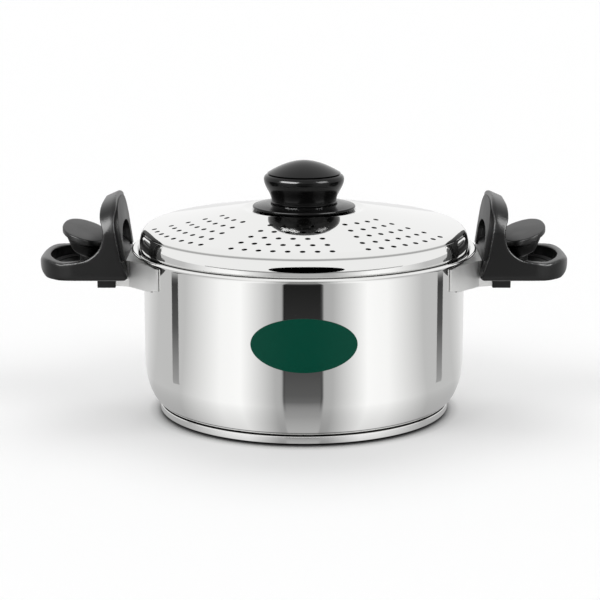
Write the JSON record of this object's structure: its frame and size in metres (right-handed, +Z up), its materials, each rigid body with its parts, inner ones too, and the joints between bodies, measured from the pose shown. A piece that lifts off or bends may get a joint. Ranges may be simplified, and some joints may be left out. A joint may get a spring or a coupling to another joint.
{
  "type": "strainer pot",
  "caption": "Steel casserole with a perforated strainer lid, a black lid knob and two black lever handles that tip inward to hook over the lid.",
  "frame": {"origin": "centre of the underside of the base", "axes": "+X towards the right handle seen from the label side, -Y towards the label, +Z up out of the pot"},
  "size_m": [0.3942, 0.258, 0.1895],
  "materials": {
    "polished_steel": "polished stainless steel",
    "base_steel": "finely turned stainless steel",
    "base_aluminium": "plain",
    "bakelite": "black, half gloss, finely pitted",
    "label": "green sticker with a pale rim",
    "insert_brass": "turned",
    "hardware": "plain zinc grey"
  },
  "bodies": {
    "pot": {"pot_body": "polished_steel", "base_core": "base_aluminium", "base_cap": "base_steel", "label_sticker": "label", "handle_bracket_right": "polished_steel", "handle_bracket_left": "polished_steel", "handle_core_right": "bakelite", "handle_core_left": "bakelite", "pivot_pin_front_right": "hardware", "pivot_pin_rear_right": "hardware", "pivot_pin_front_left": "hardware", "pivot_pin_rear_left": "hardware", "bracket_nut_right": "hardware", "bracket_nut_left": "hardware", "handle_screw_right": "hardware", "handle_screw_left": "hardware", "screw_washer_right": "hardware", "screw_washer_left": "hardware"},
    "lid": {"lid_shell": "polished_steel", "knob_guard": "bakelite", "knob": "bakelite", "knob_insert": "insert_brass", "knob_washer": "hardware", "knob_screw": "hardware"},
    "lock_right": {"lock_frame_right": "bakelite"},
    "lock_left": {"lock_frame_left": "bakelite"}
  },
  "joints": [
    {"name": "lid_lift", "type": "slide", "parent": "pot", "child": "lid", "axis": [0, 0, 1], "range_m": [0, 0.12]},
    {"name": "lock_right_tip", "type": "hinge", "parent": "pot", "child": "lock_right", "pos_m": [0.143, 0, 0.1125], "axis": [0, -1, 0], "range_deg": [0, 24]},
    {"name": "lock_left_tip", "type": "hinge", "parent": "pot", "child": "lock_left", "pos_m": [-0.143, 0, 0.1125], "axis": [0, 1, 0], "range_deg": [0, 24]}
  ]
}
